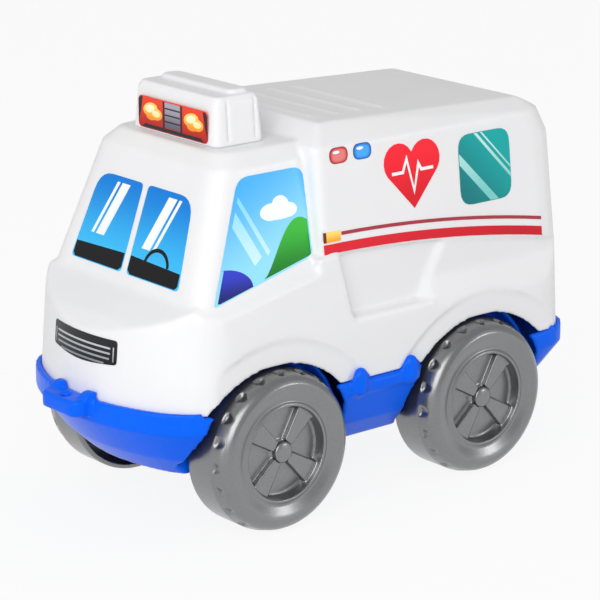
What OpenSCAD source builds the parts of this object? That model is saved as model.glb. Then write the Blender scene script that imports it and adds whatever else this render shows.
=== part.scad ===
// Toy ambulance: a moulded body shell on a bath-shaped chassis, with four free-turning wheels.
// The front faces -Y, the vehicle's left side is +X, and the wheels stand on z = 0.

/* [Overall] */
// Distance between the front and the rear axle
wheelbase = 184; // [176:1:196]
// Front axle to the foot of the nose
nose_overhang = 98; // [94:1:106]
// Rear axle to the foot of the tail
tail_overhang = 91; // [86:1:100]
// Width of the lower body over its fenders
body_w = 187; // [182:1:190]
// Wall thickness of the body shell
shell_wall = 2.6; // [2:0.1:3.4]

/* [Heights] */
// Parting line between shell and chassis
parting_z = 91; // [88:0.5:94]
// Top of the sill, below the recessed door panel
step_z = 136; // [130:1:142]
// Foot of the windscreen
hood_z = 163; // [158:1:168]
// Highest point of the crease below the stripes
crease_z = 182.5; // [178:0.5:188]
// How far the crease falls towards the tail
crease_drop = 25.5; // [20:0.5:30]
// Roof of the cab
cab_roof_z = 258; // [254:1:262]
// Roof of the rear box at its front
box_roof_z = 269; // [266:1:276]

/* [Cab] */
// Step in from the doors to the foot of the cab, on each side
cab_step = 7.5; // [6:0.5:9]
// How far each side of the cab leans in from its foot to its eaves
cab_tumble = 16; // [12:0.5:19]
// Front axle forward to the foot of the windscreen
screen_base_reach = 61; // [56:1:66]
// Front axle forward to the head of the windscreen
screen_top_reach = 31; // [26:1:36]

/* [Rear box] */
// Step in from the fenders to the foot of the box, on each side
box_step = 3.5; // [2.5:0.5:5]
// How far each side of the box leans in from its foot to its eaves
box_tumble = 8; // [5:0.5:11]
// Front axle back to the front of the box
box_setback = 41; // [36:1:46]
// Number of ribs across the roof
roof_ribs = 4; // [2:1:5]

/* [Wheels] */
// Diameter of a wheel
wheel_d = 113; // [108:1:115]
// Width of a wheel
wheel_w = 38; // [34:1:40]
// How far the inner face of a wheel lies inside the fender
wheel_tuck = 27.5; // [25.5:0.5:29.5]
// Diameter of the steel axles
axle_d = 6; // [5:0.5:7]
// Radial running clearance between axle and wheel
running_clearance = 0.05; // [0.02:0.01:0.1]
// Number of lugs on a wheel's outer shoulder
wheel_lugs = 20; // [12:1:24]
// Number of spokes in a wheel's dish
wheel_spokes = 4; // [3:1:6]

/* [Chassis] */
// Underside of the chassis
belly_z = 43; // [40:1:48]
// How far the bumpers stand proud of the shell
bumper_proud = 5; // [3:0.5:7]
// How far the bumpers rise over the parting line
bumper_rise = 3.5; // [2:0.5:6]
// Wall thickness of the chassis
chassis_wall = 2.8; // [2.2:0.1:3.4]
// How far the tow lug stands out of the front bumper
tow_reach = 13; // [11:0.5:16]
// Width of the tow lug
tow_w = 42; // [34:1:48]
// Diameter of the hole in the tow lug
tow_hole_d = 7; // [5:0.5:8]

/* [Light bar] */
// Width of the light bar
bar_w = 94; // [84:1:100]
// Length of the light bar from front to back
bar_len = 42; // [38:1:44]
// Height of the light bar over the cab roof
bar_h = 36; // [30:1:40]

/* [Labels] */
// Thickness of the printed film
label_t = 0.3; // [0.2:0.05:0.5]
// Width and height of the emblem on the box
emblem_size = 50; // [40:1:54]
// Width of the rear window print
pane_w = 49; // [40:1:54]
// Height of the rear window print
pane_h = 50; // [44:1:54]

/* [Hidden] */
$fn = 64;

// Overrun of every cut, and thickness of the sections that a loft runs between
over = 1;
skin = 0.2;
// Gap between a printed film and the face that carries it, and between fixed fitted pieces
film_gap = 0.02;
seat_gap = 0.1;
// Segments in a rounded corner
bend_steps = 5;
// Stations along the nose, the crease, the stripes and a roof rib, and facets of large rounds
plan_steps = 7;
crease_steps = 10;
stripe_steps = 12;
rib_steps = 8;
nose_facets = 128;
wheel_facets = 96;

// Stations along the length, with the whole part centred on y = 0
overall_len = tow_reach + 2 * bumper_proud + nose_overhang + wheelbase + tail_overhang;
tip_y = -overall_len / 2;
bumper_y = tip_y + tow_reach;
nose_y = bumper_y + bumper_proud;
front_y = nose_y + nose_overhang;
rear_y = front_y + wheelbase;
tail_y = rear_y + tail_overhang;
box_y = front_y + box_setback;
screen_base_y = front_y - screen_base_reach;
screen_top_y = front_y - screen_top_reach;
axle_z = wheel_d / 2;
side_x = body_w / 2;

// Widths of the cab and the box at foot and eaves, and between the wheels
cab_base_w = body_w - 2 * cab_step;
cab_top_w = cab_base_w - 2 * cab_tumble;
box_base_w = body_w - 2 * box_step;
box_top_w = box_base_w - 2 * box_tumble;
inner_track = body_w - 2 * wheel_tuck;

// Nose: radius in plan, lean of its face, height of its brow and the corner roundings
nose_r = 142;
nose_lean = 5;
brow_z = 148;
brow_h = 8;
brow_run = 9;
nose_corner = 22;
tail_corner = 26;
tail_lean = 6;

// Cab: eaves below the roof, their rounding, corner rounding and depth sunk into the lower body
cab_eave_drop = 10;
cab_eave_z = cab_roof_z - cab_eave_drop;
cab_eave = 9;
cab_corner = 17;
cab_sink = 14;
shoulder = 12;

// Box: eaves, roof edges and corners
box_eave_drop = 14;
box_eave_z = box_roof_z - box_eave_drop;
roof_fall = 6;
roof_inset = 15;
roof_front_run = 15;
roof_tail_run = 27;
roof_tail_drop = 18;
roof_tail_in = 9;
box_corner = 7;
box_sink = 16;
rib_w = 9;
rib_h = 1.6;
rib_len = 96;
rib_pitch = 21;
rib_start = 26;

// Side panels: depth of the recessed door panel, waist of the rear quarter and its fender
panel_head_in = 7;
panel_foot_in = 9.5;
waist_in = 5;
door_in = 1.4;
waist_z = 152;
fender_z = 129;
door_head_back = 55;
door_foot_back = 68;
facet_foot_ahead = 55.5;
facet_lean = 21.5;
sill_back = 42;
facet_turn = 58;

// Wheel arches: radius, drop of their centres below the axle and the ring round them
arch_gap = 22.5;
arch_r = wheel_d / 2 + arch_gap;
arch_drop = 20;
rear_arch_back = 5;
ring_w = 17;
ring_in = 1.6;

// Wheels: radii and depths, measured from the inner face
tyre_h = 22.1;
rim_lip = 1.8;
dish_draft = 1.2;
bead_r = wheel_d / 2 - tyre_h;
rim_r = bead_r - rim_lip;
dish_r = rim_r - dish_draft;
bead_in = 1.6;
rim_in = 3.4;
dish_in = 10;
tread_share = 0.66;
crest_share = 0.5;
tyre_wall = 3.4;
hub_r = 7.4;
hub_in = 8.4;
spoke_h = 4.6;
spoke_root_w = 7;
spoke_tip_w = 16;
spoke_start = 51;
lug_r = 5.2;
lug_in = 2.8;
lug_share = 0.7;
wheel_gap = 1;

// Hub caps and push nuts
cap_dome = 4.2;
cap_wall = 1.6;
nut_r = 5;
nut_t = 1;
nut_stand = 0.4;
axle_stand = 1.4;

// Chassis: slope of its sides, wells round the wheels, axle tunnels, lugs and posts
skirt_z = 80;
skirt_in = 13;
chin_run = 24;
chin_z = 58;
chin_share = 0.7;
belly_share = 1.1;
well_gap = 6.5;
tunnel_r = 8;
ledge_in = shell_wall + ring_in + over;
clip_w = 16;
clip_rise = 6.5;
clip_round = 6.5;
clip_t = 2.6;
clip_pitch = 46;
clip_z = 82;
clip_back = 3;
tow_t = 11;
cheek_w = 9;
cheek_h = 9;
tow_corner = 9;
tow_hole_in = 8;
tow_rise = 4.5;
tow_z = parting_z + tow_rise;

// Screws and the posts that take them
screw_r = 1.6;
screw_len = 26;
head_r = 3.4;
head_h = 2.2;
post_r = 5;
post_top = 26;
post_rib = 2.4;
end_post_x = 30;
end_post_in = 40;
mid_post_x = 64;
mid_post_back = 93;

// Light bar: taper, step and grooves
bar_front_ahead = 15;
bar_taper = 4;
bar_step = 3;
bar_step_run = 11;
bar_corner = 6;
groove_w = 2.4;
groove_in = 1.4;
peg_r = 4;
peg_len = 7;
peg_x = 26;
bar_wall = 2.4;

// Printed films: sizes and places
bar_label_w = 77;
bar_label_h = 22;
bar_label_up = 1.6;
print_round = 4;
grille_w = 71;
grille_h = 16.5;
grille_z = 137;
grille_belly = 3.5;
grille_round = 2.5;
screen_print_w = 58;
screen_print_taper = 9;
screen_print_h = 62;
screen_print_up = 8;
screen_print_x = 3;
screen_print_round = 14;
window_foot_front = 48;
window_foot_back = 39;
window_head_front = 16;
window_head_back = 39;
window_foot_z = 163;
window_rise = 20;
window_head_z = 243;
window_round = 9;
emblem_back = 126;
emblem_drop = 43;
emblem_z = box_roof_z - emblem_drop;
lobe_share = 0.27;
lobe_apart_share = 0.9;
lobe_up_share = 0.2;
point_share = 0.46;
pane_back = 194;
pane_drop = 47;
pane_z = box_roof_z - pane_drop;
pane_round = 11;
lamp_w = 16;
lamp_h = 11;
lamp_round = 5.4;
lamp_back = 61;
lamp_pitch = 21;
lamp_drop = 20;
lamp_z = box_roof_z - lamp_drop;
stripe_h = 6.5;
stripe_up = 1.6;
pin_stripe_h = 2.4;
pin_stripe_up = 13;
stripe_front = 2;
pin_stripe_front = 17;
stripe_len = 205;
marker_len = 15;
marker_h = 7;
marker_up = 9.5;

// One rounded corner q between the neighbours p and s, starting a setback t before it
function bend(p, q, s, t) =
    let (u = q + t * (p - q) / norm(p - q), v = q + t * (s - q) / norm(s - q))
    [for (i = [0:bend_steps])
        let (k = i / bend_steps) (1 - k) * (1 - k) * u + 2 * k * (1 - k) * q + k * k * v];

// Closed outline from corners [x, y, setback], where a setback of zero keeps the corner sharp
function soft_outline(c) =
    let (n = len(c), at = function (i) [c[(i + n) % n][0], c[(i + n) % n][1]])
    [for (i = [0:n - 1]) each c[i][2] > 0 ? bend(at(i - 1), at(i), at(i + 1), c[i][2]) : [at(i)]];

// Rectangle with its front and rear corners rounded apart
function box_outline(half, front, back, front_round, back_round) = soft_outline([
    [-half, front, front_round], [half, front, front_round],
    [half, back, back_round], [-half, back, back_round]]);

// Plan of the body: a nose on a large radius, rounded corners, straight sides and a rounded tail
function nose_sag(x) = nose_r - sqrt(nose_r * nose_r - x * x);
function body_plan(front, half, back) =
    let (n = plan_steps, reach = half - nose_corner)
    soft_outline(concat(
        [for (i = [-n:n]) [i / n * reach, front + nose_sag(i / n * reach), 0]],
        [[half, front + nose_sag(half), nose_corner], [half, back, tail_corner],
         [-half, back, tail_corner], [-half, front + nose_sag(half), nose_corner]]));

// Height of the crease, which falls towards the tail on a parabola
function crease(y) = crease_z - crease_drop * pow((y - box_y) / (tail_y - box_y), 2);
crease_ys = [for (i = [0:crease_steps]) box_y + i / crease_steps * (tail_y + over - box_y)];

// Half-widths of the cab and the box, and the leaning windscreen and tail, at a height
function mix(a, b, k) = a + (b - a) * k;
function cab_half(z) = mix(cab_base_w, cab_top_w, (z - hood_z) / (cab_eave_z - hood_z)) / 2;
function screen_y(z) = mix(screen_base_y, screen_top_y, (z - hood_z) / (cab_eave_z - hood_z));
function box_half(z) = mix(box_base_w, box_top_w, (z - crease_z) / (box_eave_z - crease_z)) / 2;
function tail_at(z) = tail_y - tail_lean * min(1, (z - parting_z) / (crease_z - parting_z));
cab_lean = atan((cab_base_w - cab_top_w) / 2 / (cab_eave_z - hood_z));
box_lean = atan((box_base_w - box_top_w) / 2 / (box_eave_z - crease_z));
screen_lean = atan((screen_top_y - screen_base_y) / (cab_eave_z - hood_z));

// Outlines in the y-z plane run across the part, outlines in the x-z plane along it
module across(w) { rotate([90, 0, 90]) linear_extrude(w, center = true) children(); }
module lengthwise(l) { rotate([90, 0, 0]) linear_extrude(l, center = true) children(); }
// A thin section whose top lies at height z
module slab(z, outline) { translate([0, 0, z - skin]) linear_extrude(skin) polygon(outline); }
module x_rod(r, from, to) { translate([from, 0, 0]) rotate([0, 90, 0]) cylinder(r = r, h = to - from); }
module both_sides() { for (s = [0, 1]) mirror([s, 0, 0]) children(); }

// Lower body inside the shell's outer face by d: nose, sides and tail, below the hood and crease
module lower_block(d) {
    intersection() {
        hull() {
            slab(parting_z + skin - (d > 0 ? over : 0), body_plan(nose_y + d, side_x - d, tail_y - d));
            slab(brow_z, body_plan(nose_y + nose_lean + d, side_x - d, tail_at(brow_z) - d));
            slab(crease_z, body_plan(nose_y + 2 * nose_lean + d, side_x - d, tail_at(crease_z) - d));
        }
        across(body_w) polygon(concat(
            [[tip_y, 0], [tip_y, brow_z - brow_h - d], [nose_y + nose_lean, brow_z - brow_h - d],
             [nose_y + nose_lean + brow_run, brow_z - d], [screen_base_y, hood_z - d]],
            [for (y = crease_ys) [y, crease(y) - d]],
            [[tail_y + over, 0]]));
    }
}

// Section of one side zone, from corners [inset from the side, height]
module zone(corners) {
    lengthwise(2 * overall_len) polygon(concat(
        [for (c = corners) [side_x - c[0], c[1]]],
        [for (i = [len(corners) - 1:-1:0]) [corners[i][0] - side_x, corners[i][1]]]));
}

// Where the front doors, the sill and the rear quarters stand proud of the recessed panel,
// all of it moved inwards by d
module side_zones(d) {
    zone([[panel_foot_in + d, 0], [panel_foot_in + d, step_z], [panel_head_in + d, crease_z],
          [panel_head_in + d, box_roof_z]]);
    intersection() {
        zone([[d, 0], [d, fender_z], [door_in + d, hood_z], [door_in + d, box_roof_z]]);
        union() {
            across(2 * body_w) polygon([
                [tip_y, 0], [front_y + door_foot_back - d, 0], [front_y + door_foot_back - d, step_z],
                [front_y + door_head_back - d, crease_z], [tip_y, crease_z]]);
            translate([0, front_y, 0]) across(2 * body_w) square([wheelbase - sill_back, step_z - d]);
        }
    }
    both_sides() intersection() {
        zone([[d, 0], [d, fender_z], [waist_in + d, waist_z], [box_step + d, crease_z], [box_step + d, box_roof_z]]);
        translate([0, tip_y, 0]) cube([body_w, overall_len, box_roof_z]);
        translate([side_x - panel_foot_in, rear_y - facet_foot_ahead + d, step_z])
            rotate([-facet_lean, 0, 0]) rotate([0, 0, facet_turn])
            translate([-body_w, 0, -box_roof_z]) cube([3 * body_w, overall_len, 2 * box_roof_z]);
    }
}

// Sloped shoulder between the doors and the cab, moved inwards by d
module shoulder_cut(d) {
    run = box_y - screen_base_y;
    both_sides() translate([side_x, screen_base_y, hood_z - shoulder])
        rotate([atan((crease_z - hood_z) / run), 0, 0]) rotate([0, -45, 0])
        translate([-d, -run, -crease_z]) cube([crease_z, 2 * run, 2 * crease_z]);
}

module cab_block(d) {
    back = box_y + box_corner + d;
    hull() {
        for (z = [hood_z - cab_sink, cab_eave_z - d])
            slab(z, box_outline(cab_half(z) - d, screen_y(z) + d, back, cab_corner, cab_corner / 4));
        slab(cab_roof_z - d, box_outline(cab_half(cab_eave_z) - cab_eave - d,
            screen_y(cab_eave_z) + cab_eave + d, back, cab_corner, cab_corner / 4));
    }
}

module box_block(d) {
    foot_z = crease_z - crease_drop - box_sink;
    roof_half = box_half(box_eave_z) - roof_inset - d;
    roof_y = [box_y + roof_front_run + d, tail_at(box_eave_z) - roof_tail_run - d];
    hull() {
        for (z = [foot_z, box_eave_z - roof_tail_drop - d])
            slab(z, box_outline(box_half(z) - d, box_y + d, tail_at(z) - d, box_corner, tail_corner));
        slab(box_eave_z - d, box_outline(box_half(box_eave_z - d) - d, box_y + d,
            tail_at(box_eave_z) - roof_tail_in - d, box_corner, tail_corner));
        for (i = [0, 1])
            translate([-roof_half, roof_y[i] - i * roof_inset, box_roof_z - i * roof_fall - skin - d])
                cube([2 * roof_half, roof_inset, skin]);
    }
}

module above_crease(sink) {
    across(2 * body_w) polygon(concat(
        [for (y = crease_ys) [y, crease(y) - sink]],
        [[tail_y + over, box_roof_z + over], [box_y, box_roof_z + over]]));
}

module wheel_arch(r, w) {
    for (c = [[front_y, 0], [rear_y, rear_arch_back]])
        translate([-w / 2, c[0] + c[1], axle_z - arch_drop]) x_rod(r, 0, w);
}

// Places of the screws: two behind the nose, two between the wheels, two ahead of the tail
screw_places = [
    [end_post_x, nose_y + end_post_in], [mid_post_x, front_y + mid_post_back], [end_post_x, tail_y - end_post_in]];
module at_screws() { both_sides() for (p = screw_places) translate([p[0], p[1], 0]) children(); }

// Posts inside the shell, each tied to the nearest wall by a rib
module shell_posts() {
    at_screws() translate([0, 0, parting_z]) cylinder(r = post_r, h = post_top);
    both_sides() {
        translate([end_post_x - post_rib / 2, nose_y, parting_z]) cube([post_rib, end_post_in, post_top]);
        translate([end_post_x - post_rib / 2, tail_y - end_post_in, parting_z])
            cube([post_rib, end_post_in, post_top]);
        translate([mid_post_x, front_y + mid_post_back - post_rib / 2, parting_z])
            cube([side_x - mid_post_x - ring_in, post_rib, post_top]);
    }
}

// Roof ribs, rounded over, across the front half of the roof
module roof_rib(i) {
    y = box_y + rib_start + i * rib_pitch;
    z = box_roof_z - roof_fall * (y - box_y) / (tail_y - box_y);
    translate([-rib_len / 2, y, z - rib_h]) rotate([90, 0, 90]) linear_extrude(rib_len)
        polygon([for (k = [0:rib_steps])
            let (a = k * 180 / rib_steps) [-rib_w / 2 * cos(a), 2 * rib_h * sin(a)]]);
}

module shell_outer() {
    difference() {
        intersection() {
            lower_block(0);
            side_zones(0);
        }
        shoulder_cut(0);
        both_sides() translate([side_x - ring_in + body_w / 2, 0, 0]) wheel_arch(arch_r + ring_w, body_w);
    }
    cab_block(0);
    intersection() {
        box_block(0);
        above_crease(0);
    }
    for (i = [0:roof_ribs - 1]) roof_rib(i);
}

hollow_w = body_w - 2 * (panel_foot_in + shell_wall + ring_in);
module shell_hollow() {
    difference() {
        intersection() {
            lower_block(shell_wall);
            side_zones(shell_wall + ring_in);
        }
        shoulder_cut(shell_wall);
    }
    cab_block(shell_wall);
    intersection() {
        box_block(shell_wall);
        union() {
            above_crease(-shell_wall);
            translate([0, 0, crease_z - crease_drop])
                cube([hollow_w, 2 * overall_len, 2 * box_sink], center = true);
        }
    }
}

module body_shell() {
    color("white") difference() {
        union() {
            difference() {
                shell_outer();
                shell_hollow();
            }
            intersection() {
                shell_posts();
                lower_block(shell_wall / 2);
            }
        }
        wheel_arch(arch_r, 2 * body_w);
        at_screws() translate([0, 0, parting_z - over])
            cylinder(r = screw_r + seat_gap, h = post_top / 2 + over);
        for (x = [-peg_x, peg_x]) translate([x, bar_mid_y, cab_roof_z - 2 * shell_wall])
            cylinder(r = peg_r + seat_gap, h = 4 * shell_wall);
    }
}

// Light bar: a lamp housing in front, a taller ridge behind it and grooves down its ends
bar_front_y = front_y - bar_front_ahead;
bar_mid_y = bar_front_y + bar_len / 2;
function bar_outline(d, front) =
    box_outline(bar_w / 2 - d, front + d, bar_front_y + bar_len - d, bar_corner, bar_corner);
module bar_block(d) {
    hull() {
        slab(cab_roof_z + skin - (d > 0 ? over : 0), bar_outline(d, bar_front_y));
        slab(cab_roof_z + bar_h - bar_step - bar_taper - d, bar_outline(d + bar_taper / 2, bar_front_y));
        slab(cab_roof_z + bar_h - bar_step - d, bar_outline(d + bar_taper, bar_front_y));
    }
    hull() {
        slab(cab_roof_z + bar_h / 2, bar_outline(d + bar_taper / 2, bar_front_y + bar_step_run));
        slab(cab_roof_z + bar_h - d, bar_outline(d + 2 * bar_taper, bar_front_y + bar_step_run));
    }
}
module light_bar() {
    color("white") difference() {
        union() {
            difference() {
                bar_block(0);
                bar_block(bar_wall);
            }
            for (x = [-peg_x, peg_x]) translate([x, bar_mid_y, cab_roof_z - peg_len])
                cylinder(r = peg_r, h = peg_len + bar_h - bar_step - bar_wall / 2);
        }
        both_sides() for (k = [1, 3]) translate([bar_w / 2, bar_front_y + k * bar_len / 4 + k, cab_roof_z])
            rotate([0, -atan(bar_taper / 2 / (bar_h - bar_step - bar_taper)), 0])
            translate([-groove_in, -groove_w / 2, bar_step]) cube([2 * groove_in, groove_w, bar_h]);
    }
}

// Chassis: outer form inside the bumper line by d
function chassis_plan(d, drop) =
    body_plan(bumper_y + d + drop * chin_run, side_x - d - drop * skirt_in, tail_y + bumper_proud - d - drop * chin_run);
module chassis_block(d) {
    hull() {
        translate([0, 0, skirt_z]) linear_extrude(parting_z - skirt_z + (d > 0 ? over : 0))
            polygon(chassis_plan(d, 0));
        slab(chin_z + d, chassis_plan(d, chin_share));
        slab(belly_z + skin + d, chassis_plan(d + skirt_in / 2, belly_share));
    }
}

// Plan of the room for the shell inside the bumpers
function shell_room() = body_plan(nose_y - seat_gap, side_x + seat_gap, tail_y + seat_gap);

// Bumper bands that rise in front of the nose and behind the tail
module bumper_band() {
    difference() {
        translate([0, 0, parting_z]) linear_extrude(bumper_rise) difference() {
            polygon(chassis_plan(0, 0));
            polygon(shell_room());
        }
        translate([-body_w, screen_base_y, 0]) cube([2 * body_w, tail_y - tail_corner - screen_base_y, box_roof_z]);
    }
}

// Ledge inside the rim, on which the shell's lower edge stands
module ledge() {
    translate([0, 0, parting_z - chassis_wall]) linear_extrude(chassis_wall) difference() {
        polygon(chassis_plan(over, 0));
        polygon(body_plan(nose_y + ledge_in, side_x - ledge_in, tail_y - ledge_in));
    }
}

module at_wheels() {
    both_sides() for (y = [front_y, rear_y]) translate([0, y, axle_z]) children();
}
well_r = wheel_d / 2 + well_gap;
well_x = inner_track / 2 - wheel_gap - chassis_wall;

// Liner of one wheel well: a curved roof and the wall behind the wheel
module well_liner() {
    liner_x = hollow_w / 2 - over;
    difference() {
        x_rod(well_r + chassis_wall, well_x - chassis_wall, liner_x);
        x_rod(well_r, well_x, liner_x + over);
    }
}

// Tow lug: a flat tongue with a hole, between two cheeks that rise to the nose
module tow_lug() {
    difference() {
        union() {
            translate([0, 0, tow_z - tow_t]) linear_extrude(tow_t) polygon(soft_outline([
                [-tow_w / 2, nose_y + 2 * over, 0], [-tow_w / 2, tip_y, tow_corner],
                [tow_w / 2, tip_y, tow_corner], [tow_w / 2, nose_y + 2 * over, 0]]));
            both_sides() translate([tow_w / 2 - cheek_w / 2, 0, 0]) across(cheek_w) polygon(soft_outline([
                [nose_y + tow_corner, tow_z - over, 0], [bumper_y - cheek_h / 2, tow_z - over, 0],
                [bumper_y - over, tow_z + cheek_h / 2, cheek_h / 2], [nose_y + tow_corner, tow_z + cheek_h / 2, 0]]));
        }
        translate([0, tip_y + tow_hole_in, tow_z - tow_t - over])
            cylinder(d = tow_hole_d, h = tow_t + 2 * over);
        translate([0, 0, parting_z]) linear_extrude(tow_t + cheek_h) polygon(shell_room());
    }
}

module chassis() {
    color("royalblue") difference() {
        union() {
            difference() {
                chassis_block(0);
                chassis_block(chassis_wall);
            }
            ledge();
            bumper_band();
            tow_lug();
            intersection() {
                union() {
                    at_wheels() well_liner();
                    at_screws() cylinder(r = post_r, h = parting_z);
                }
                union() {
                    chassis_block(0);
                    translate([-body_w, tip_y, parting_z - over]) cube([2 * body_w, overall_len, box_roof_z]);
                }
            }
            for (y = [front_y, rear_y]) translate([0, y, axle_z]) x_rod(tunnel_r, -well_x, well_x);
            both_sides() for (k = [-0.5, 0.5])
                translate([side_x - clip_t, (front_y + rear_y - clip_w) / 2 + clip_back + k * clip_pitch, clip_z])
                clip();
        }
        at_wheels() x_rod(well_r, well_x, body_w);
        for (y = [front_y, rear_y]) translate([0, y, axle_z])
            x_rod(axle_d / 2 + running_clearance, -body_w, body_w);
        at_screws() {
            translate([0, 0, -over]) cylinder(r = head_r + seat_gap, h = screw_seat_z + over);
            cylinder(r = screw_r + seat_gap, h = parting_z + over);
        }
    }
}
screw_seat_z = parting_z + post_top / 2 - over - screw_len;

// Rounded tab that clips over the sill from outside
module clip() {
    rise = parting_z + clip_rise - clip_z;
    translate([clip_t + seat_gap, 0, 0]) rotate([90, 0, 90]) linear_extrude(clip_t) polygon(soft_outline([
        [0, 0, 0], [clip_w, 0, 0], [clip_w, rise, clip_round], [0, rise, clip_round]]));
    cube([clip_t + seat_gap + over, clip_w, parting_z - clip_z - seat_gap]);
}

// Wheel, with its axis on +x and its inner face at x = 0: half section, spokes and shoulder lugs
function wheel_section() =
    let (r = wheel_d / 2, w = wheel_w, floor_x = w - dish_in, hub_x = w - hub_in)
    concat(
        [[axle_d / 2 + running_clearance, 0], [hub_r, 0], [hub_r, floor_x - tyre_wall],
         [dish_r + tyre_wall, floor_x - tyre_wall], [bead_r + tyre_wall, w - rim_in - tyre_wall],
         [r - 3 * tyre_wall, w - tyre_wall], [r - 2 * tyre_wall, tread_share * w], [r - tyre_wall, 0]],
        soft_outline([[r - over, 0, 0], [r, over, 0], [r, tread_share * w, 0],
            [r - tyre_wall, w, tyre_wall * 2], [mix(bead_r, r, crest_share), w + bead_in / 4, tyre_wall],
            [bead_r + bead_in, w - rim_in, bead_in], [bead_r, w - bead_in, 0], [rim_r, w - bead_in, 0],
            [rim_r, w - rim_in, 0], [dish_r, floor_x, 0], [hub_r + over, floor_x, 0], [hub_r, hub_x, 0],
            [axle_d / 2 + running_clearance, hub_x, 0]]));

module wheel_solid() {
    r = wheel_d / 2;
    color("gray") rotate([0, 90, 0]) difference() {
        union() {
            rotate_extrude($fn = wheel_facets) polygon(wheel_section());
            for (i = [0:wheel_spokes - 1]) rotate([0, 0, 90 + spoke_start + i * 360 / wheel_spokes])
                translate([0, 0, wheel_w - dish_in - tyre_wall / 2]) linear_extrude(spoke_h + tyre_wall / 2)
                polygon([[hub_r + seat_gap, -spoke_root_w / 2], [rim_r + over / 2, -spoke_tip_w / 2],
                    [rim_r + over / 2, spoke_tip_w / 2], [hub_r + seat_gap, spoke_root_w / 2]]);
        }
        for (i = [0:wheel_lugs - 1]) rotate([0, 0, i * 360 / wheel_lugs])
            translate([r + lug_r - lug_in, 0, lug_share * wheel_w]) cylinder(r = lug_r, h = wheel_w);
    }
}

// Hub cap: a shallow dome seated on the wheel's hub, over the axle's end
module cap_solid() {
    seat = wheel_w - hub_in + film_gap;
    room = axle_stand + nut_stand + nut_t;
    color("gray") translate([seat, 0, 0]) rotate([0, 90, 0]) rotate_extrude() polygon(concat(
        [[nut_r + over, 0], [hub_r, 0]],
        [for (k = [0:6]) [hub_r * cos(k * 90 / 6), cap_wall + room / 2 + cap_dome * sin(k * 90 / 6) / 2]],
        [[0, room], [nut_r + over, room]]));
}

module at_wheel(y, side) {
    mirror([side < 0 ? 1 : 0, 0, 0]) translate([inner_track / 2, y, axle_z]) children();
}

module axle(y) {
    reach = inner_track / 2 + wheel_w - hub_in + nut_stand + nut_t + axle_stand / 2;
    color("silver") translate([0, y, axle_z]) x_rod(axle_d / 2, -reach, reach);
}

module axle_push_nuts() {
    color("silver") for (y = [front_y, rear_y], s = [-1, 1]) at_wheel(y, s)
        translate([wheel_w - hub_in + nut_stand, 0, 0]) difference() {
            x_rod(nut_r, 0, nut_t);
            x_rod(axle_d / 2 + film_gap, -over, nut_t + over);
        }
}

module body_screws() {
    color("silver") at_screws() translate([0, 0, screw_seat_z - seat_gap]) {
        translate([0, 0, -head_h]) cylinder(r = head_r, h = head_h);
        cylinder(r = screw_r, h = screw_len - over);
    }
}

// Faces that carry the printed films, with the film's outline in the face's own plane
module on_cab_side(s) {
    mirror([s < 0 ? 1 : 0, 0, 0]) translate([cab_half(hood_z), 0, hood_z]) rotate([0, -cab_lean, 0])
        translate([film_gap, 0, 0]) rotate([90, 0, 90]) linear_extrude(label_t)
        translate([0, -hood_z / cos(cab_lean)]) children();
}
module on_box_side(s) {
    mirror([s < 0 ? 1 : 0, 0, 0]) translate([box_half(crease_z), 0, crease_z]) rotate([0, -box_lean, 0])
        translate([film_gap, 0, 0]) rotate([90, 0, 90]) linear_extrude(label_t)
        translate([0, -crease_z / cos(box_lean)]) children();
}
// Height measured up the leaning face of the box or the cab
function up_box(z) = z / cos(box_lean);
function up_cab(z) = z / cos(cab_lean);

module windscreen_label(s) {
    color("deepskyblue") mirror([s < 0 ? 1 : 0, 0, 0])
        translate([screen_print_x, screen_base_y, hood_z]) rotate([90 - screen_lean, 0, 0])
        translate([0, screen_print_up, film_gap]) linear_extrude(label_t) polygon(soft_outline([
            [0, 0, print_round], [screen_print_w, 0, print_round],
            [screen_print_w - screen_print_taper, screen_print_h, screen_print_round],
            [0, screen_print_h, print_round]]));
}

nose_tilt = atan(nose_lean / (brow_z - parting_z));
module nose_round(r) {
    translate([0, nose_y + nose_r / cos(nose_tilt), parting_z]) rotate([-nose_tilt, 0, 0])
        cylinder(r = r, h = cab_roof_z, $fn = nose_facets);
}
module grille_label() {
    color("dimgray") intersection() {
        difference() {
            nose_round(nose_r + film_gap + label_t);
            nose_round(nose_r + film_gap);
        }
        lengthwise(2 * overall_len) polygon(soft_outline([
            [-grille_w / 2, grille_z, grille_round], [-grille_w / 2, grille_z - grille_h, grille_round],
            [0, grille_z - grille_h - grille_belly, grille_w / 4],
            [grille_w / 2, grille_z - grille_h, grille_round], [grille_w / 2, grille_z, grille_round]]));
        translate([-body_w, tip_y, 0]) cube([2 * body_w, overall_len / 2, cab_roof_z]);
    }
}

module light_bar_label() {
    color("orangered") translate([0, bar_front_y - film_gap, cab_roof_z + bar_label_up]) rotate([90, 0, 0])
        linear_extrude(label_t) polygon(soft_outline([
            [-bar_label_w / 2, 0, print_round], [bar_label_w / 2, 0, print_round],
            [bar_label_w / 2, bar_label_h, print_round], [-bar_label_w / 2, bar_label_h, print_round]]));
}

module cab_window_label(s) {
    color("skyblue") on_cab_side(s) polygon(soft_outline([
        [front_y - window_foot_front, up_cab(window_foot_z), window_round / 3],
        [front_y + window_foot_back, up_cab(window_foot_z + window_rise), window_round / 3],
        [front_y + window_head_back, up_cab(window_head_z), window_round],
        [front_y - window_head_front, up_cab(window_head_z), window_round]]));
}

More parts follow.
